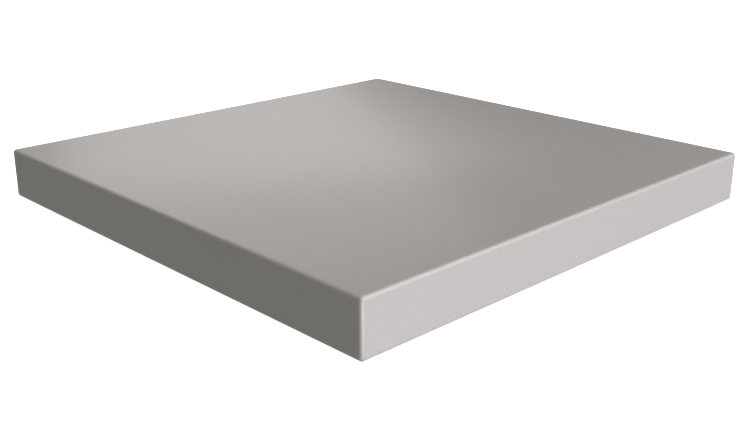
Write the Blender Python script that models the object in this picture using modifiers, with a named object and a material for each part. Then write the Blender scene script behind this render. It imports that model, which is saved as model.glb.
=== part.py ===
"""Granite slab for tooling and stamping leather, on four stick-on rubber feet.

Blender 4.5, metres, +Z up. The origin is the centre of the square footprint, on the bench under the feet.
+X is the slab's right side, -Y its front. Run with: blender --background --python part.py
"""

import math

import bpy

# Driving dimensions of the stone.
SLAB_SIDE = 0.305
SLAB_THICKNESS = 0.0293
EDGE_RADIUS = 0.002

# Driving dimensions of a foot: a moulded rubber bumper, wider at the top than where it stands.
FOOT_HEIGHT = 0.004
FOOT_FLAT_RADIUS = 0.0085
FOOT_EDGE_RADIUS = 0.0008
FOOT_DRAFT = math.radians(12)
FOOT_INSET = 0.035
GATE_DIMPLE_RADIUS = 0.0025
GATE_DIMPLE_DEPTH = 0.0004
GATE_DIMPLE_SLOPE = 0.0003

# Driving dimensions of the foam disc that bonds a foot to the stone.
ADHESIVE_THICKNESS = 0.0008
ADHESIVE_MARGIN = 0.0008
ADHESIVE_EDGE_RADIUS = 0.0002
CONTACT_GAP = 0.0002

# How finely round shapes are cut.
EDGE_SEGMENTS = 6
FOOT_ARC_STEPS = 5
TURNED_STEPS = 48
ADHESIVE_EDGE_SEGMENTS = 2
MERGE_DISTANCE = 0.00001

# Levels that follow from the stack of foot, foam disc and stone.
ADHESIVE_BOTTOM_Z = FOOT_HEIGHT + CONTACT_GAP
SLAB_BOTTOM_Z = ADHESIVE_BOTTOM_Z + ADHESIVE_THICKNESS + CONTACT_GAP
FOOT_OFFSET = SLAB_SIDE / 2 - FOOT_INSET

# Each corner's name and the signs of its X and Y.
CORNERS = {
    "front_left": (-1, -1),
    "front_right": (1, -1),
    "back_left": (-1, 1),
    "back_right": (1, 1),
}


def clear_scene():
    for obj in list(bpy.data.objects):
        bpy.data.objects.remove(obj)


def make_collection(name):
    collection = bpy.data.collections.new(name)
    bpy.context.scene.collection.children.link(collection)
    return collection


def make_material(name, colour, roughness):
    """A plain, non-metallic Principled material."""
    material = bpy.data.materials.new(name)
    material.use_nodes = True
    shader = material.node_tree.nodes["Principled BSDF"]
    shader.inputs["Base Color"].default_value = (*colour, 1.0)
    shader.inputs["Roughness"].default_value = roughness
    shader.inputs["Metallic"].default_value = 0.0
    return material


def add_part(obj, name, material, collection, parent):
    """Names an object and its mesh, gives it its material, and files it under the assembly."""
    obj.name = name
    obj.data.name = name
    obj.data.materials.clear()
    obj.data.materials.append(material)
    for holder in list(obj.users_collection):
        holder.objects.unlink(obj)
    collection.objects.link(obj)
    obj.parent = parent
    return obj


def round_edges(obj, radius, segments):
    bevel = obj.modifiers.new("rounded_edges", "BEVEL")
    bevel.width = radius
    bevel.segments = segments
    bevel.limit_method = "ANGLE"
    bevel.angle_limit = math.radians(30)


def shade_round(obj):
    obj.data.shade_smooth()
    obj.data.set_sharp_from_angle(angle=math.radians(30))


def arc(centre_r, centre_z, radius, start, end, steps):
    """Points (r, z) along an arc about a centre, from one angle to another."""
    turns = (start + (end - start) * step / steps for step in range(steps + 1))
    return [(centre_r + radius * math.cos(t), centre_z + radius * math.sin(t)) for t in turns]


def foot_top_radius():
    """Where the drafted wall that leaves the rounded lower edge meets the foot's top."""
    wall_start_z = FOOT_EDGE_RADIUS * (1 - math.sin(FOOT_DRAFT))
    wall_start_r = FOOT_FLAT_RADIUS + FOOT_EDGE_RADIUS * math.cos(FOOT_DRAFT)
    return wall_start_r + (FOOT_HEIGHT - wall_start_z) * math.tan(FOOT_DRAFT)


def foot_profile():
    """Half section (r, z) of a foot: top, drafted wall, rounded lower edge, flat, moulding-gate dimple."""
    lower_edge = arc(
        FOOT_FLAT_RADIUS, FOOT_EDGE_RADIUS, FOOT_EDGE_RADIUS, -FOOT_DRAFT, -math.pi / 2, FOOT_ARC_STEPS
    )
    top = [(0.0, FOOT_HEIGHT), (foot_top_radius(), FOOT_HEIGHT)]
    dimple = [
        (GATE_DIMPLE_RADIUS, 0.0),
        (GATE_DIMPLE_RADIUS - GATE_DIMPLE_SLOPE, GATE_DIMPLE_DEPTH),
        (0.0, GATE_DIMPLE_DEPTH),
    ]
    return top + lower_edge + dimple


def make_foot_mesh():
    profile = foot_profile()
    mesh = bpy.data.meshes.new("foot")
    mesh.from_pydata(
        [(r, 0.0, z) for r, z in profile], [(i, i + 1) for i in range(len(profile) - 1)], []
    )
    return mesh


def make_slab(material, collection, parent):
    """The block of stone, every edge and corner eased to one radius."""
    bpy.ops.mesh.primitive_cube_add(size=1)
    slab = bpy.context.object
    slab.scale = (SLAB_SIDE, SLAB_SIDE, SLAB_THICKNESS)
    bpy.ops.object.transform_apply(location=False, rotation=False, scale=True)
    slab.location = (0, 0, SLAB_BOTTOM_Z + SLAB_THICKNESS / 2)
    round_edges(slab, EDGE_RADIUS, EDGE_SEGMENTS)
    shade_round(slab)
    return add_part(slab, "granite_slab", material, collection, parent)


def make_foot(corner, signs, material, collection, parent):
    """A rubber foot, turned about its own upright axis."""
    foot = bpy.data.objects.new("foot", make_foot_mesh())
    foot.location = (signs[0] * FOOT_OFFSET, signs[1] * FOOT_OFFSET, 0)
    turn = foot.modifiers.new("turned", "SCREW")
    turn.axis = "Z"
    turn.steps = TURNED_STEPS
    turn.render_steps = TURNED_STEPS
    turn.use_merge_vertices = True
    turn.merge_threshold = MERGE_DISTANCE
    turn.use_smooth_shade = True
    return add_part(foot, f"foot_{corner}", material, collection, parent)


def make_adhesive(corner, signs, material, collection, parent):
    """The foam disc between a foot's top and the stone, a little smaller than the foot."""
    bpy.ops.mesh.primitive_cylinder_add(
        vertices=TURNED_STEPS,
        radius=foot_top_radius() - ADHESIVE_MARGIN,
        depth=ADHESIVE_THICKNESS,
        location=(
            signs[0] * FOOT_OFFSET,
            signs[1] * FOOT_OFFSET,
            ADHESIVE_BOTTOM_Z + ADHESIVE_THICKNESS / 2,
        ),
    )
    disc = bpy.context.object
    round_edges(disc, ADHESIVE_EDGE_RADIUS, ADHESIVE_EDGE_SEGMENTS)
    shade_round(disc)
    return add_part(disc, f"adhesive_{corner}", material, collection, parent)


def main():
    clear_scene()
    collection = make_collection("granite_slab_assembly")
    assembly = bpy.data.objects.new("assembly", None)
    collection.objects.link(assembly)

    granite = make_material("granite", (0.40, 0.38, 0.37), 0.42)
    rubber = make_material("foot_rubber", (0.03, 0.03, 0.03), 0.75)
    foam = make_material("adhesive_foam", (0.62, 0.62, 0.60), 0.9)

    make_slab(granite, collection, assembly)
    for corner, signs in CORNERS.items():
        make_foot(corner, signs, rubber, collection, assembly)
        make_adhesive(corner, signs, foam, collection, assembly)


main()
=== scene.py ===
"""The granite slab that leather is tooled and stamped on: a stone block on four stick-on rubber feet.

Blender 4.5, metres, +Z up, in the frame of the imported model. The slab's right side is +X, its front is -Y.
"""

import math

import bmesh
import bpy
from mathutils import Matrix, Vector


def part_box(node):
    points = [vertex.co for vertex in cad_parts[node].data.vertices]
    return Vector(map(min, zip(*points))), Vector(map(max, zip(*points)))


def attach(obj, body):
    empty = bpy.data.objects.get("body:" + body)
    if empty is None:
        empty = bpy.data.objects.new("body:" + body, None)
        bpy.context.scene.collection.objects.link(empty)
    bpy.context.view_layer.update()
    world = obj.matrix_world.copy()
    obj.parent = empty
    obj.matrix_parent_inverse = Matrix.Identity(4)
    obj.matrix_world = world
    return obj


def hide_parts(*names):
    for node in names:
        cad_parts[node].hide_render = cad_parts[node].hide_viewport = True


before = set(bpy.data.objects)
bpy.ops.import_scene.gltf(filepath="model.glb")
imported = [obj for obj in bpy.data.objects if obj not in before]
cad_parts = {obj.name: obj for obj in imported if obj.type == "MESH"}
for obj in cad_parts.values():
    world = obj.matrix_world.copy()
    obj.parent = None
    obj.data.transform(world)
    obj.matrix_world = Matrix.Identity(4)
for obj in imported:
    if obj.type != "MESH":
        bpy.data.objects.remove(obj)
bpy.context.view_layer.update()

ROOT_BODY = "root"
MILLIMETRE = 0.001

# Stone block: every arris is eased to one small radius, and a thin margin holds each flat face flat.
ARRIS_RADIUS = 2.0 * MILLIMETRE
ARRIS_SEGMENTS = 12
FLAT_MARGIN = 0.4 * MILLIMETRE
FLAT_FACE_AREA = 1000 * MILLIMETRE**2

# Rubber foot, turned about its own centre: tread at the bench, drafted wall, thin moulded lip at the top.
FOOT_SIDES = 96
TREAD_RADIUS = 8.5 * MILLIMETRE
TREAD_EDGE_RADIUS = 0.8 * MILLIMETRE
TREAD_EDGE_SEGMENTS = 8
LIP_HEIGHT = 0.5 * MILLIMETRE
LIP_STEP_HEIGHT = 0.12 * MILLIMETRE
LIP_OVERHANG = 0.25 * MILLIMETRE
LIP_EDGE_RADIUS = 0.1 * MILLIMETRE
LIP_EDGE_SEGMENTS = 3
GATE_DIMPLE_RADIUS = 2.5 * MILLIMETRE
GATE_DIMPLE_DEPTH = 0.4 * MILLIMETRE
GATE_DIMPLE_SLOPE = 0.3 * MILLIMETRE

# Foam disc: glue film, squeezed foam core with a bulged rim, glue film.
DISC_SIDES = 96
FILM_HEIGHT = 0.12 * MILLIMETRE
RIM_BULGE = 0.22 * MILLIMETRE
RIM_CUTS = 5
FILM_EDGE_RADIUS = 0.03 * MILLIMETRE
FILM_EDGE_SEGMENTS = 2

# One foot and one disc stand at each corner. Those of the first corner are modelled, and the rest
# are copies of them.
FIRST_CORNER = "front_left"
OTHER_CORNERS = ("front_right", "back_left", "back_right")

# Shaping. Two heights closer than SAME_HEIGHT are the same height, and a face whose normal has less Z than
# FACING_DOWN faces down. QUARTER_ROUND is the bevel profile of a true arc.
SAME_HEIGHT = 0.01 * MILLIMETRE
FACING_DOWN = -0.99
CREASE_ANGLE = math.radians(35)
QUARTER_ROUND = 0.5

# Noise: how many finer layers the broad and the fine patterns have, and how coarse the noise that bends
# a mosaic's seams is beside its cells.
BROAD_DETAIL = 3.0
FINE_DETAIL = 4.0
WANDER_SHARE = 0.8

# Honed stone. Patches, grains, crystals and bubbles are counted per metre.
STONE_COLOUR = (0.400, 0.381, 0.366, 1)
HONED_ROUGHNESS = 0.34
QUARTZ_ROUGHNESS = 0.30
ARRIS_POLISH = -0.02
HONING_GRAINS = 5200.0
HONING_TOOTH_DEPTH = 0.006 * MILLIMETRE
SEAM_DEPTH = 0.002 * MILLIMETRE
STONE_PATCHES = 14.0
STONE_PATCH_CONTRAST = 0.012
LARGE_CRYSTALS = 850.0
LARGE_CRYSTAL_WAVINESS = 0.9
LARGE_CRYSTAL_CONTRAST = 0.026
SMALL_CRYSTALS = 3000.0
SMALL_CRYSTAL_WAVINESS = 0.6
SMALL_CRYSTAL_CONTRAST = 0.085

# The arrises are where the normal has turned this far from an axis, given as the cosine of the turn.
ARRIS_TURN_START = 0.999
ARRIS_TURN_END = 0.94

# The stone's minerals: the share of its crystals that each makes up, and its tone, where 0.5 is the
# stone's own. Quartz comes last, because a crystal is quartz when its draw lies in the last share.
MINERALS = {
    "dark mica": (0.06, (0.02, 0.02, 0.03, 1)),
    "cloudy feldspar": (0.24, (0.37, 0.36, 0.35, 1)),
    "pale feldspar": (0.40, (0.70, 0.69, 0.67, 1)),
    "quartz": (0.30, (0.47, 0.48, 0.49, 1)),
}

# The underside, left as the saw cut it. SAW_HUB moves the pattern's middle out past a corner. The sawn
# finish starts and ends this far above the underside.
SAWN_ROUGHNESS = 0.72
SAWN_START = 0.1 * MILLIMETRE
SAWN_END = 0.02 * MILLIMETRE
SAW_HUB = (0.31, -0.42, 0)
KERF_SCALE = 130.0
KERF_WOBBLE = 1.2
KERF_WOBBLE_RATE = 0.2
KERF_DEPTH = 0.04 * MILLIMETRE
KERF_SHADE = -0.05

# Moulded rubber.
RUBBER_COLOUR = (0.022, 0.021, 0.020, 1)
RUBBER_ROUGHNESS = 0.62
RUBBER_PATCHES = 180.0
RUBBER_PATCH_CONTRAST = 0.15
MOULD_GRAINS = 3800.0
MOULD_TOOTH_DEPTH = 0.03 * MILLIMETRE

# The dust that rubber picks up from the bench. It goes from its thinnest to full over a range of its noise.
BENCH_DUST_COLOUR = (0.17, 0.16, 0.15, 1)
BENCH_DUST_COVER = 0.35
BENCH_DUST_HEIGHT = 2.8 * MILLIMETRE
BENCH_DUST_PATCHES = 420.0
BENCH_DUST_NOISE = (0.35, 0.7)
BENCH_DUST_THINNEST = 0.2
DUSTY_ROUGHNESS = 0.90

# Cut foam. A cell's colour goes from the painted light of its walls to the painted shade of its hollow, where
# its bump sinks in.
FOAM_COLOUR = (0.62, 0.62, 0.60, 1)
FOAM_PATCHES = 150.0
FOAM_PATCH_CONTRAST = 0.05
FOAM_BUBBLES = 4200.0
FOAM_WALL_SHARE = 0.2
FOAM_WALL_PAINTED_LIGHT = 1.04
FOAM_HOLLOW_PAINTED_SHADE = 0.90
FOAM_SKIN_ROUGHNESS = 0.88
FOAM_BUBBLE_ROUGHNESS = 0.96
BUBBLE_DEPTH = 0.04 * MILLIMETRE

# Camera: it looks at CAMERA_AIM from this azimuth, elevation and distance, and sees what lies between near
# and far. Lens and sensor are in millimetres.
CAMERA_AZIMUTH = 45.99
CAMERA_ELEVATION = 18.99
CAMERA_DISTANCE = 0.6129
CAMERA_AIM = Vector((0.0062, -0.0038, -0.0009))
CAMERA_LENS = 49.05
CAMERA_SENSOR = 36
CAMERA_NEAR = 0.01
CAMERA_FAR = 100

# Floor: its own glow goes from the centre's to full white between these two distances.
FLOOR_RADIUS = 40
FLOOR_SIDES = 128
FLOOR_COLOUR = (0.8, 0.8, 0.8, 1)
FLOOR_CENTRE_GLOW = 0.88
FLOOR_FADE_START = 0.25
FLOOR_FADE_END = 0.9

# Air: white to the camera, and to everything else dark but for these soft glows. Their directions and
# strengths, like the softboxes' below, come from a fit to the brightness wanted on each face and arris, and
# were then rounded. Angles are in degrees, and a tighter glow covers less of the air.
PAPER_WHITE = (1, 1, 1, 1)
DARKNESS = (0, 0, 0, 1)
WIDE, TIGHTER = 8, 12
SOFT_GLOWS = {
    "front_right_high": {
        "azimuth": 65,
        "elevation": 32,
        "tightness": WIDE,
        "colour": (2.20, 2.20, 2.08, 1),
    },
    "right_level": {
        "azimuth": 114,
        "elevation": 3,
        "tightness": TIGHTER,
        "colour": (1.08, 1.10, 1.23, 1),
    },
    "back_right_high": {
        "azimuth": 129,
        "elevation": 35,
        "tightness": WIDE,
        "colour": (3.01, 2.98, 3.12, 1),
    },
    "back_low": {
        "azimuth": 183,
        "elevation": -13,
        "tightness": WIDE,
        "colour": (0.81, 0.80, 0.80, 1),
    },
    "back_lowest": {
        "azimuth": 196,
        "elevation": -45,
        "tightness": TIGHTER,
        "colour": (1.40, 1.37, 1.35, 1),
    },
    "left_high": {
        "azimuth": 279,
        "elevation": 49,
        "tightness": TIGHTER,
        "colour": (1.17, 1.13, 1.05, 1),
    },
    "left_low": {
        "azimuth": 280,
        "elevation": -21,
        "tightness": TIGHTER,
        "colour": (0.47, 0.50, 0.44, 1),
    },
}

# Softboxes, in metres, degrees and watts. Each distance is from the middle of the stone. The side one adds to
# the light on the top and the right face, and the back one makes the broad reflection on the top. The low
# strip lights the front and the right face from below, and makes the thin bright line down the front corner.
STONE_MIDDLE = sum(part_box("granite_slab"), Vector()) / 2
SOFTBOXES = {
    "side_softbox": {
        "azimuth": 102,
        "elevation": 36,
        "distance": 2.13,
        "aim": STONE_MIDDLE,
        "width": 2.03,
        "height": 2.44,
        "colour": (0.98, 0.97, 1.0),
        "power": 11.9,
    },
    "back_softbox": {
        "azimuth": 254,
        "elevation": 15.6,
        "distance": 0.29,
        "aim": Vector((-0.282, 0.053, -0.145)),
        "width": 0.65,
        "height": 0.26,
        "colour": (0.975, 0.966, 1.0),
        "power": 0.266,
    },
    "low_strip": {
        "azimuth": 67,
        "elevation": -20.5,
        "distance": 1.52,
        "aim": STONE_MIDDLE,
        "width": 1.80,
        "height": 0.047,
        "colour": (0.963, 0.961, 1.0),
        "power": 12.5,
    },
}


def deselect_all():
    """Operators act on all that is selected, so each piece starts from nothing selected."""
    bpy.ops.object.select_all(action="DESELECT")


def settle(name):
    """Names the primitive just added and moves its place and size into its mesh."""
    piece = bpy.context.active_object
    piece.name = piece.data.name = name
    bpy.ops.object.transform_apply(location=True, rotation=True, scale=True)
    return piece


def add_block(name, low, high):
    """A box between two opposite corners."""
    deselect_all()
    bpy.ops.mesh.primitive_cube_add(size=1, location=(low + high) / 2, scale=high - low)
    return settle(name)


def add_cylinder(name, centre, radius, bottom, top, sides):
    """An upright cylinder between two heights."""
    deselect_all()
    bpy.ops.mesh.primitive_cylinder_add(
        vertices=sides,
        radius=radius,
        depth=top - bottom,
        end_fill_type="NGON",
        location=(centre.x, centre.y, (bottom + top) / 2),
    )
    return settle(name)


def start_editing(piece):
    """Opens a piece in edit mode, with nothing in it selected."""
    deselect_all()
    piece.select_set(True)
    bpy.context.view_layer.objects.active = piece
    bpy.ops.object.mode_set(mode="EDIT")
    bpy.ops.mesh.select_all(action="DESELECT")


def stop_editing():
    """Turns every face of the piece outwards, and leaves edit mode."""
    bpy.ops.mesh.select_all(action="SELECT")
    bpy.ops.mesh.normals_make_consistent(inside=False)
    bpy.ops.object.mode_set(mode="OBJECT")


def select(piece, kind, wanted):
    """Selects, in edit mode, just the FACE, EDGE or VERT parts that wanted(part) says yes to."""
    bpy.ops.mesh.select_mode(type=kind)
    bpy.ops.mesh.select_all(action="DESELECT")
    mesh = bmesh.from_edit_mesh(piece.data)
    for part in {"FACE": mesh.faces, "EDGE": mesh.edges, "VERT": mesh.verts}[kind]:
        part.select_set(wanted(part))
    bmesh.update_edit_mesh(piece.data)


def at_height(edge, height):
    """True if both ends of the edge lie in the level plane at this height."""
    return all(abs(end.co.z - height) < SAME_HEIGHT for end in edge.verts)


def resize_across(factor, centre):
    """Scales the selection in X and Y about the upright line through centre."""
    bpy.ops.transform.resize(value=(factor, factor, 1), center_override=(centre.x, centre.y, 0))


def cut_level(height):
    """Cuts the whole piece in edit mode with a level plane, and leaves both halves in place."""
    bpy.ops.mesh.select_all(action="SELECT")
    bpy.ops.mesh.bisect(plane_co=(0, 0, height), plane_no=(0, 0, 1))


def round_edges(radius, segments):
    """Rounds the selected edges to an arc."""
    bpy.ops.mesh.bevel(
        offset=radius, segments=segments, profile=QUARTER_ROUND, affect="EDGES", clamp_overlap=False
    )


def shade_round(piece):
    """Shades curves smooth and keeps true creases sharp."""
    deselect_all()
    piece.select_set(True)
    bpy.context.view_layer.objects.active = piece
    bpy.ops.object.shade_smooth_by_angle(angle=CREASE_ANGLE)


def make_stone_block():
    """The stone: a block with every arris and corner eased, and a thin flat margin round each face."""
    low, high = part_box("granite_slab")
    block = add_block("stone_block", low, high)
    start_editing(block)
    bpy.ops.mesh.select_all(action="SELECT")
    round_edges(ARRIS_RADIUS, ARRIS_SEGMENTS)
    select(block, "FACE", lambda face: face.calc_area() > FLAT_FACE_AREA)
    bpy.ops.mesh.inset(thickness=FLAT_MARGIN, use_individual=True)
    stop_editing()
    shade_round(block)
    return block


def make_first_foot():
    """The rubber foot of the first corner, a drafted bumper with a lip at the top."""
    low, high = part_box("foot_" + FIRST_CORNER)
    centre = (low + high) / 2
    top_radius = (high.x - low.x) / 2
    foot = add_cylinder("rubber_foot_" + FIRST_CORNER, centre, top_radius, low.z, high.z, FOOT_SIDES)
    start_editing(foot)

    # The lip: everything below it is drawn in, and a short step joins the two.
    lip_bottom = high.z - LIP_HEIGHT
    wall_top = lip_bottom - LIP_STEP_HEIGHT
    cut_level(lip_bottom)
    cut_level(wall_top)
    select(foot, "VERT", lambda vertex: vertex.co.z < wall_top + SAME_HEIGHT)
    resize_across(1 - LIP_OVERHANG / top_radius, centre)

    # The draft: the tread is narrower than the top of the wall.
    select(foot, "VERT", lambda vertex: vertex.co.z < low.z + SAME_HEIGHT)
    resize_across((TREAD_RADIUS + TREAD_EDGE_RADIUS) / (top_radius - LIP_OVERHANG), centre)
    select(foot, "EDGE", lambda edge: at_height(edge, low.z))
    round_edges(TREAD_EDGE_RADIUS, TREAD_EDGE_SEGMENTS)

    # The gate dimple, sunk into the tread.
    select(foot, "FACE", lambda face: face.normal.z < FACING_DOWN and len(face.verts) == FOOT_SIDES)
    bpy.ops.mesh.inset(thickness=TREAD_RADIUS - GATE_DIMPLE_RADIUS, use_even_offset=True)
    bpy.ops.mesh.inset(thickness=GATE_DIMPLE_SLOPE, depth=-GATE_DIMPLE_DEPTH, use_even_offset=True)

    # The lip's two outer edges are softened.
    select(foot, "EDGE", lambda edge: at_height(edge, high.z) or at_height(edge, lip_bottom))
    round_edges(LIP_EDGE_RADIUS, LIP_EDGE_SEGMENTS)
    stop_editing()
    shade_round(foot)
    return foot


def make_first_disc():
    """The foam disc of the first corner. It reaches from the foot to the stone, which it bonds."""
    low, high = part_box("adhesive_" + FIRST_CORNER)
    foot_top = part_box("foot_" + FIRST_CORNER)[1].z
    stone_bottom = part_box("granite_slab")[0].z
    centre = (low + high) / 2
    radius = (high.x - low.x) / 2
    disc = add_cylinder("foam_disc_" + FIRST_CORNER, centre, radius, foot_top, stone_bottom, DISC_SIDES)
    start_editing(disc)

    # A glue film at each face, and a core between them whose rim bulges.
    core_bottom = foot_top + FILM_HEIGHT
    core_top = stone_bottom - FILM_HEIGHT
    cut_level(core_bottom)
    cut_level(core_top)
    for number in range(1, RIM_CUTS + 1):
        share = number / (RIM_CUTS + 1)
        height = core_bottom + share * (core_top - core_bottom)
        cut_level(height)
        select(disc, "VERT", lambda vertex: abs(vertex.co.z - height) < SAME_HEIGHT)
        resize_across(1 + RIM_BULGE * math.sin(math.pi * share) / radius, centre)
    select(disc, "EDGE", lambda edge: at_height(edge, foot_top) or at_height(edge, stone_bottom))
    round_edges(FILM_EDGE_RADIUS, FILM_EDGE_SEGMENTS)
    stop_editing()
    shade_round(disc)
    return disc


def copy_to_corners(first, stem, node_stem):
    """Copies the first corner's piece to the other three, and gives all four by corner."""
    made = {FIRST_CORNER: first}
    first_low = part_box(node_stem + FIRST_CORNER)[0]
    for corner in OTHER_CORNERS:
        copy = first.copy()
        copy.data = first.data.copy()
        copy.name = copy.data.name = stem + corner
        copy.data.transform(Matrix.Translation(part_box(node_stem + corner)[0] - first_low))
        bpy.context.scene.collection.objects.link(copy)
        made[corner] = copy
    return made


def add_node(tree, kind, inputs=None, **settings):
    """Adds a node, sets its settings, and sets or links its inputs by name or number."""
    made = tree.nodes.new(kind)
    for name, value in settings.items():
        setattr(made, name, value)
    for name, value in (inputs or {}).items():
        if isinstance(value, bpy.types.NodeSocket):
            tree.links.new(value, made.inputs[name])
        else:
            made.inputs[name].default_value = value
    return made


def calculate(tree, operation, *values, clamp=False):
    """One Math node, and its result."""
    return add_node(
        tree, "ShaderNodeMath", dict(enumerate(values)), operation=operation, use_clamp=clamp
    ).outputs[0]


def spread(tree, value, low, high, new_low, new_high, smooth=False):
    """Maps the range low..high to new_low..new_high, and stops at its ends."""
    return add_node(
        tree,
        "ShaderNodeMapRange",
        {"Value": value, "From Min": low, "From Max": high, "To Min": new_low, "To Max": new_high},
        interpolation_type="SMOOTHSTEP" if smooth else "LINEAR",
    ).outputs["Result"]


def mix_colours(tree, factor, first, second, how="MIX"):
    """Goes from the first colour to the second as factor goes from 0 to 1.

    Inputs 6 and 7 of the Mix node are its two colours, and output 2 is the mixed colour.
    """
    return add_node(
        tree,
        "ShaderNodeMix",
        {"Factor": factor, 6: first, 7: second},
        data_type="RGBA",
        blend_type=how,
    ).outputs[2]


def tint(tree, colour, tone):
    """Multiplies a colour by a tone, which may be a grey or a colour."""
    return mix_colours(tree, 1.0, colour, tone, how="MULTIPLY")


def start_group(name, inputs, outputs):
    """An empty node group. inputs gives each socket's type and default, outputs each socket's type."""
    group = bpy.data.node_groups.new(name, "ShaderNodeTree")
    for socket_name, (kind, default) in inputs.items():
        socket = group.interface.new_socket(name=socket_name, in_out="INPUT", socket_type=kind)
        if default is not None:
            socket.default_value = default
    for socket_name, kind in outputs.items():
        group.interface.new_socket(name=socket_name, in_out="OUTPUT", socket_type=kind)
    return group, group.nodes.new("NodeGroupInput").outputs, group.nodes.new("NodeGroupOutput").inputs


def use_group(tree, group, **inputs):
    """Places a group in a material. Underscores in the input names stand for spaces."""
    return add_node(
        tree,
        "ShaderNodeGroup",
        {name.replace("_", " "): value for name, value in inputs.items()},
        node_tree=group,
    ).outputs


def make_mosaic_group():
    """Cells that fill space with no gaps, as crystals in stone or bubbles in foam do.

    Draw is a random colour for each cell. Depth is 0 in the seams between cells and 1 inside them.
    """
    group, given, result = start_group(
        "cell_mosaic",
        {
            "Vector": ("NodeSocketVector", None),
            "Cells Per Metre": ("NodeSocketFloat", 1000.0),
            "Waviness": ("NodeSocketFloat", 0.4),
            "Seam Share": ("NodeSocketFloat", 0.12),
        },
        {"Draw": "NodeSocketColor", "Depth": "NodeSocketFloat"},
    )
    rate = given["Cells Per Metre"]
    wander_rate = calculate(group, "MULTIPLY", rate, WANDER_SHARE)
    wander = add_node(
        group, "ShaderNodeTexNoise", {"Vector": given["Vector"], "Scale": wander_rate}
    ).outputs["Color"]
    reach = calculate(group, "DIVIDE", given["Waviness"], rate)
    place = add_node(
        group, "ShaderNodeVectorMath", {0: wander, 1: reach, 2: given["Vector"]}, operation="MULTIPLY_ADD"
    ).outputs["Vector"]
    cells = add_node(group, "ShaderNodeTexVoronoi", {"Vector": place, "Scale": rate})
    seams = add_node(
        group, "ShaderNodeTexVoronoi", {"Vector": place, "Scale": rate}, feature="DISTANCE_TO_EDGE"
    )
    depth = add_node(
        group,
        "ShaderNodeMapRange",
        {"Value": seams.outputs["Distance"], "From Max": given["Seam Share"]},
        interpolation_type="SMOOTHSTEP",
    ).outputs["Result"]
    group.links.new(cells.outputs["Color"], result["Draw"])
    group.links.new(depth, result["Depth"])
    return group


def make_mineral_group():
    """Turns a cell's random colour into the tone of the mineral that it is made of, around 1."""
    group, given, result = start_group(
        "mineral_tone",
        {"Draw": ("NodeSocketColor", None), "Contrast": ("NodeSocketFloat", 0.05)},
        {"Tone": "NodeSocketColor", "Quartz": "NodeSocketFloat"},
    )
    draw = add_node(group, "ShaderNodeSeparateColor", {"Color": given["Draw"]}).outputs
    mix = add_node(group, "ShaderNodeValToRGB", {"Fac": draw["Red"]})
    ramp = mix.color_ramp
    ramp.interpolation = "CONSTANT"
    starts_at = 0.0
    for number, (share, colour) in enumerate(MINERALS.values()):
        stop = ramp.elements[number] if number < 2 else ramp.elements.new(starts_at)
        stop.position = starts_at
        stop.color = colour
        starts_at += share
    tone = add_node(
        group,
        "ShaderNodeVectorMath",
        {
            0: mix.outputs["Color"],
            1: calculate(group, "MULTIPLY", given["Contrast"], 2.0),
            2: calculate(group, "SUBTRACT", 1.0, given["Contrast"]),
        },
        operation="MULTIPLY_ADD",
    ).outputs["Vector"]
    quartz = calculate(group, "GREATER_THAN", draw["Red"], 1 - MINERALS["quartz"][0])
    group.links.new(tone, result["Tone"])
    group.links.new(quartz, result["Quartz"])
    return group


def make_drift_group():
    """A broad, slow drift of tone, as in natural stone, aged rubber and cut foam."""
    group, given, result = start_group(
        "tone_drift",
        {
            "Vector": ("NodeSocketVector", None),
            "Patches Per Metre": ("NodeSocketFloat", 20.0),
            "Contrast": ("NodeSocketFloat", 0.02),
        },
        {"Tone": "NodeSocketFloat"},
    )
    cloud = add_node(
        group,
        "ShaderNodeTexNoise",
        {"Vector": given["Vector"], "Scale": given["Patches Per Metre"], "Detail": BROAD_DETAIL},
    ).outputs["Fac"]
    swing = calculate(group, "MULTIPLY_ADD", cloud, 2.0, -1.0)
    group.links.new(calculate(group, "MULTIPLY_ADD", swing, given["Contrast"], 1.0), result["Tone"])
    return group


def make_tooth_group():
    """The fine tooth that honing, a mould or a die leaves: a height from 0 to 1."""
    group, given, result = start_group(
        "fine_tooth",
        {"Vector": ("NodeSocketVector", None), "Grains Per Metre": ("NodeSocketFloat", 3000.0)},
        {"Height": "NodeSocketFloat"},
    )
    tooth = add_node(
        group,
        "ShaderNodeTexNoise",
        {"Vector": given["Vector"], "Scale": given["Grains Per Metre"], "Detail": FINE_DETAIL},
    ).outputs["Fac"]
    group.links.new(tooth, result["Height"])
    return group


def make_dust_group():
    """Dust and chalking that lie near the bench: 1 at the foot of a piece, fading unevenly to 0 above."""
    group, given, result = start_group(
        "bench_dust",
        {"Vector": ("NodeSocketVector", None), "Fade Height": ("NodeSocketFloat", 0.003)},
        {"Mask": "NodeSocketFloat"},
    )
    height = add_node(group, "ShaderNodeSeparateXYZ", {"Vector": given["Vector"]}).outputs["Z"]
    patches = add_node(
        group,
        "ShaderNodeTexNoise",
        {"Vector": given["Vector"], "Scale": BENCH_DUST_PATCHES, "Detail": FINE_DETAIL},
    ).outputs["Fac"]
    level = calculate(group, "DIVIDE", height, given["Fade Height"])
    near = spread(group, level, 0.0, 1.0, 1.0, 0.0, smooth=True)
    uneven = spread(group, patches, *BENCH_DUST_NOISE, BENCH_DUST_THINNEST, 1.0)
    group.links.new(calculate(group, "MULTIPLY", near, uneven), result["Mask"])
    return group


def start_material(name):
    """An empty material with a Principled shader, and its Object coordinates."""
    material = bpy.data.materials.new(name)
    material.use_nodes = True
    tree = material.node_tree
    tree.nodes.clear()
    shader = tree.nodes.new("ShaderNodeBsdfPrincipled")
    output = tree.nodes.new("ShaderNodeOutputMaterial")
    tree.links.new(shader.outputs["BSDF"], output.inputs["Surface"])
    coordinates = tree.nodes.new("ShaderNodeTexCoord").outputs["Object"]
    return material, tree, shader, coordinates


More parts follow.
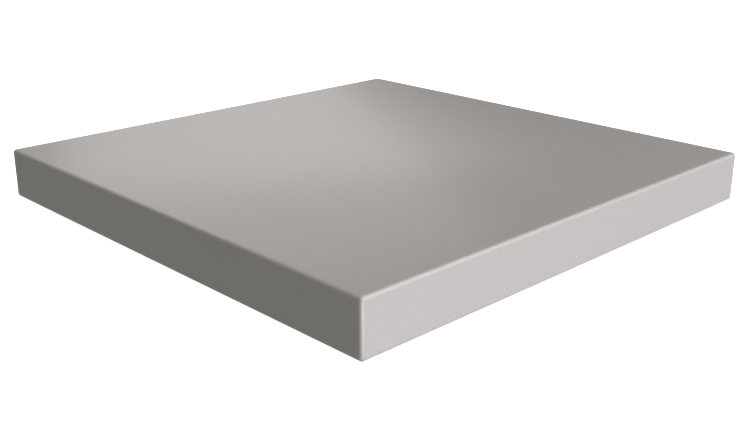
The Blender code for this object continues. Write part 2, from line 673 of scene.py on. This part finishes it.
def feed(tree, shader, **inputs):
    """Sets or links the shader's inputs. Underscores in the names stand for spaces."""
    for name, value in inputs.items():
        socket = shader.inputs[name.replace("_", " ")]
        if isinstance(value, bpy.types.NodeSocket):
            tree.links.new(value, socket)
        else:
            socket.default_value = value


def bump(tree, height):
    """Turns a height in metres into a normal."""
    return add_node(tree, "ShaderNodeBump", {"Height": height, "Distance": 1.0}).outputs["Normal"]


def make_arris_mask(tree):
    """1 on the rounded arrises and 0 on the flat faces, from how far the surface turns from the axes."""
    normal = tree.nodes.new("ShaderNodeTexCoord").outputs["Normal"]
    sizes = add_node(tree, "ShaderNodeVectorMath", {0: normal}, operation="ABSOLUTE").outputs["Vector"]
    along = add_node(tree, "ShaderNodeSeparateXYZ", {"Vector": sizes}).outputs
    most = calculate(tree, "MAXIMUM", calculate(tree, "MAXIMUM", along["X"], along["Y"]), along["Z"])
    return spread(tree, most, ARRIS_TURN_START, ARRIS_TURN_END, 0.0, 1.0, smooth=True)


def make_sawn_mask(tree, coordinates):
    """1 on the underside, which is left as it was sawn, and 0 elsewhere."""
    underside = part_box("granite_slab")[0].z
    height = add_node(tree, "ShaderNodeSeparateXYZ", {"Vector": coordinates}).outputs["Z"]
    return spread(tree, height, underside + SAWN_START, underside + SAWN_END, 0.0, 1.0)


def make_kerf_arcs(tree, coordinates):
    """The wide, shallow arcs that a large saw blade leaves in the underside: 0 to 1."""
    hub = add_node(tree, "ShaderNodeMapping", {"Vector": coordinates, "Location": SAW_HUB})
    arcs = add_node(
        tree,
        "ShaderNodeTexWave",
        {
            "Vector": hub.outputs["Vector"],
            "Scale": KERF_SCALE,
            "Distortion": KERF_WOBBLE,
            "Detail": 2.0,
            "Detail Scale": KERF_WOBBLE_RATE,
        },
        wave_type="RINGS",
        rings_direction="Z",
    )
    return arcs.outputs["Fac"]


def make_stone_material(groups):
    """Honed fine-grained granite: warm grey and satin, with small crystals of nearly one tone."""
    material, tree, shader, place = start_material("honed_granite")
    drift = use_group(
        tree, groups["drift"], Vector=place, Patches_Per_Metre=STONE_PATCHES, Contrast=STONE_PATCH_CONTRAST
    )
    tooth = use_group(tree, groups["tooth"], Vector=place, Grains_Per_Metre=HONING_GRAINS)
    large = use_group(
        tree,
        groups["mosaic"],
        Vector=place,
        Cells_Per_Metre=LARGE_CRYSTALS,
        Waviness=LARGE_CRYSTAL_WAVINESS,
    )
    small = use_group(
        tree,
        groups["mosaic"],
        Vector=place,
        Cells_Per_Metre=SMALL_CRYSTALS,
        Waviness=SMALL_CRYSTAL_WAVINESS,
    )
    large_mineral = use_group(
        tree, groups["mineral"], Draw=large["Draw"], Contrast=LARGE_CRYSTAL_CONTRAST
    )
    small_mineral = use_group(
        tree, groups["mineral"], Draw=small["Draw"], Contrast=SMALL_CRYSTAL_CONTRAST
    )
    sawn = make_sawn_mask(tree, place)
    kerfs = calculate(tree, "MULTIPLY", sawn, make_kerf_arcs(tree, place))

    colour = tint(tree, STONE_COLOUR, drift["Tone"])
    colour = tint(tree, colour, large_mineral["Tone"])
    colour = tint(tree, colour, small_mineral["Tone"])
    colour = tint(tree, colour, calculate(tree, "MULTIPLY_ADD", kerfs, KERF_SHADE, 1.0))

    honed = spread(tree, large_mineral["Quartz"], 0.0, 1.0, HONED_ROUGHNESS, QUARTZ_ROUGHNESS)
    eased = calculate(tree, "MULTIPLY_ADD", make_arris_mask(tree), ARRIS_POLISH, honed)
    roughness = calculate(tree, "MULTIPLY_ADD", sawn, SAWN_ROUGHNESS - HONED_ROUGHNESS, eased)

    relief = calculate(tree, "MULTIPLY", tooth["Height"], HONING_TOOTH_DEPTH)
    relief = calculate(tree, "MULTIPLY_ADD", small["Depth"], SEAM_DEPTH, relief)
    relief = calculate(tree, "MULTIPLY_ADD", kerfs, KERF_DEPTH, relief)
    feed(tree, shader, Base_Color=colour, Roughness=roughness, Normal=bump(tree, relief))
    return material


def make_rubber_material(groups):
    """Moulded black rubber with a matt tooth, dusty near the bench."""
    material, tree, shader, place = start_material("moulded_rubber")
    drift = use_group(
        tree, groups["drift"], Vector=place, Patches_Per_Metre=RUBBER_PATCHES, Contrast=RUBBER_PATCH_CONTRAST
    )
    tooth = use_group(tree, groups["tooth"], Vector=place, Grains_Per_Metre=MOULD_GRAINS)
    dust = use_group(tree, groups["dust"], Vector=place, Fade_Height=BENCH_DUST_HEIGHT)
    clean = tint(tree, RUBBER_COLOUR, drift["Tone"])
    cover = calculate(tree, "MULTIPLY", dust["Mask"], BENCH_DUST_COVER)
    colour = mix_colours(tree, cover, clean, BENCH_DUST_COLOUR)
    roughness = spread(tree, dust["Mask"], 0.0, 1.0, RUBBER_ROUGHNESS, DUSTY_ROUGHNESS)
    relief = calculate(tree, "MULTIPLY", tooth["Height"], MOULD_TOOTH_DEPTH)
    feed(tree, shader, Base_Color=colour, Roughness=roughness, Normal=bump(tree, relief))
    return material


def make_foam_material(groups):
    """Closed-cell foam, off-white, cut so that its cells show, with painted shade in their hollows and
    painted light on their walls.
    """
    material, tree, shader, place = start_material("cut_foam")
    bubbles = use_group(
        tree, groups["mosaic"], Vector=place, Cells_Per_Metre=FOAM_BUBBLES, Seam_Share=FOAM_WALL_SHARE
    )
    drift = use_group(
        tree, groups["drift"], Vector=place, Patches_Per_Metre=FOAM_PATCHES, Contrast=FOAM_PATCH_CONTRAST
    )
    # Painted shade and light: the colour darkens into each bubble's hollow and lightens on its walls,
    # following the bubble depth.
    painted_cell_shade = spread(tree, bubbles["Depth"], 0.0, 1.0, FOAM_WALL_PAINTED_LIGHT, FOAM_HOLLOW_PAINTED_SHADE)
    colour = tint(tree, tint(tree, FOAM_COLOUR, drift["Tone"]), painted_cell_shade)
    roughness = spread(tree, bubbles["Depth"], 0.0, 1.0, FOAM_SKIN_ROUGHNESS, FOAM_BUBBLE_ROUGHNESS)
    relief = calculate(tree, "MULTIPLY", bubbles["Depth"], -BUBBLE_DEPTH)
    feed(tree, shader, Base_Color=colour, Roughness=roughness, Normal=bump(tree, relief))
    return material


def make_floor():
    """A wide pale floor. It glows a little more away from the slab, so that it has no visible end."""
    deselect_all()
    bpy.ops.mesh.primitive_circle_add(vertices=FLOOR_SIDES, radius=FLOOR_RADIUS, fill_type="NGON")
    floor = settle("studio_floor")
    material, tree, shader, place = start_material("pale_floor")
    away = add_node(tree, "ShaderNodeVectorMath", {0: place}, operation="LENGTH").outputs["Value"]
    glow = spread(tree, away, FLOOR_FADE_START, FLOOR_FADE_END, FLOOR_CENTRE_GLOW, 1.0, smooth=True)
    colour = add_node(tree, "ShaderNodeCombineColor", {"Red": glow, "Green": glow, "Blue": glow})
    feed(tree, shader, Base_Color=FLOOR_COLOUR, Roughness=1.0, Specular_IOR_Level=0.0)
    feed(tree, shader, Emission_Color=colour.outputs["Color"], Emission_Strength=1.0)
    floor.data.materials.append(material)
    floor.visible_diffuse = False
    floor.visible_glossy = False
    floor.visible_shadow = False


def direction_from(azimuth, elevation):
    """The unit vector towards an azimuth, turned from the slab's front, and an elevation, in degrees."""
    turn, rise = math.radians(azimuth), math.radians(elevation)
    return Vector((math.sin(turn) * math.cos(rise), -math.cos(turn) * math.cos(rise), math.sin(rise)))


def make_glow_group():
    """Light that is strongest along an axis and falls off softly around it."""
    group, given, result = start_group(
        "soft_glow",
        {
            "Direction": ("NodeSocketVector", None),
            "Axis": ("NodeSocketVector", None),
            "Tightness": ("NodeSocketFloat", 8.0),
            "Glow": ("NodeSocketColor", PAPER_WHITE),
        },
        {"Light": "NodeSocketColor"},
    )
    facing = add_node(
        group, "ShaderNodeVectorMath", {0: given["Direction"], 1: given["Axis"]}, operation="DOT_PRODUCT"
    ).outputs["Value"]
    strength = calculate(group, "POWER", calculate(group, "MAXIMUM", facing, 0.0), given["Tightness"])
    group.links.new(tint(group, given["Glow"], strength), result["Light"])
    return group


def make_world():
    """White to the camera, and soft glows to everything that the air lights."""
    world = bpy.data.worlds.new("studio_air")
    world.use_nodes = True
    bpy.context.scene.world = world
    tree = world.node_tree
    tree.nodes.clear()
    direction = tree.nodes.new("ShaderNodeTexCoord").outputs["Generated"]
    glow_group = make_glow_group()
    light = DARKNESS
    for glow in SOFT_GLOWS.values():
        axis = direction_from(glow["azimuth"], glow["elevation"])
        added = use_group(
            tree,
            glow_group,
            Direction=direction,
            Axis=axis,
            Tightness=glow["tightness"],
            Glow=glow["colour"],
        )
        light = mix_colours(tree, 1.0, light, added["Light"], how="ADD")
    seen_by_camera = tree.nodes.new("ShaderNodeLightPath").outputs["Is Camera Ray"]
    colour = mix_colours(tree, seen_by_camera, light, PAPER_WHITE)
    background = add_node(tree, "ShaderNodeBackground", {"Color": colour, "Strength": 1.0})
    output = tree.nodes.new("ShaderNodeOutputWorld")
    tree.links.new(background.outputs["Background"], output.inputs["Surface"])


def add_softbox(name, azimuth, elevation, distance, aim, width, height, colour, power):
    """A rectangular soft light, hidden from the camera itself."""
    light = bpy.data.lights.new(name, "AREA")
    light.shape = "RECTANGLE"
    light.size, light.size_y = width, height
    light.color = colour
    light.energy = power
    lamp = bpy.data.objects.new(name, light)
    lamp.location = STONE_MIDDLE + direction_from(azimuth, elevation) * distance
    lamp.rotation_euler = (aim - lamp.location).to_track_quat("-Z", "Y").to_euler()
    lamp.visible_camera = False
    bpy.context.scene.collection.objects.link(lamp)


def make_camera():
    """The camera, in focus at every distance."""
    data = bpy.data.cameras.new("studio_camera")
    data.lens = CAMERA_LENS
    data.sensor_width = CAMERA_SENSOR
    data.clip_start = CAMERA_NEAR
    data.clip_end = CAMERA_FAR
    back = direction_from(CAMERA_AZIMUTH, CAMERA_ELEVATION)
    camera = bpy.data.objects.new("studio_camera", data)
    camera.location = CAMERA_AIM + back * CAMERA_DISTANCE
    camera.rotation_euler = (-back).to_track_quat("-Z", "Y").to_euler()
    bpy.context.scene.collection.objects.link(camera)
    bpy.context.scene.camera = camera


def finish_piece(piece, material, node):
    """Gives a piece its material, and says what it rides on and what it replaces."""
    piece.data.materials.clear()
    piece.data.materials.append(material)
    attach(piece, ROOT_BODY)
    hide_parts(node)


groups = {
    "mosaic": make_mosaic_group(),
    "mineral": make_mineral_group(),
    "drift": make_drift_group(),
    "tooth": make_tooth_group(),
    "dust": make_dust_group(),
}
stone = make_stone_material(groups)
rubber = make_rubber_material(groups)
foam = make_foam_material(groups)

finish_piece(make_stone_block(), stone, "granite_slab")
for corner, foot in copy_to_corners(make_first_foot(), "rubber_foot_", "foot_").items():
    finish_piece(foot, rubber, "foot_" + corner)
for corner, disc in copy_to_corners(make_first_disc(), "foam_disc_", "adhesive_").items():
    finish_piece(disc, foam, "adhesive_" + corner)

make_floor()
make_world()
for name, settings in SOFTBOXES.items():
    add_softbox(name, **settings)
make_camera()
bpy.context.scene.view_settings.view_transform = "Standard"
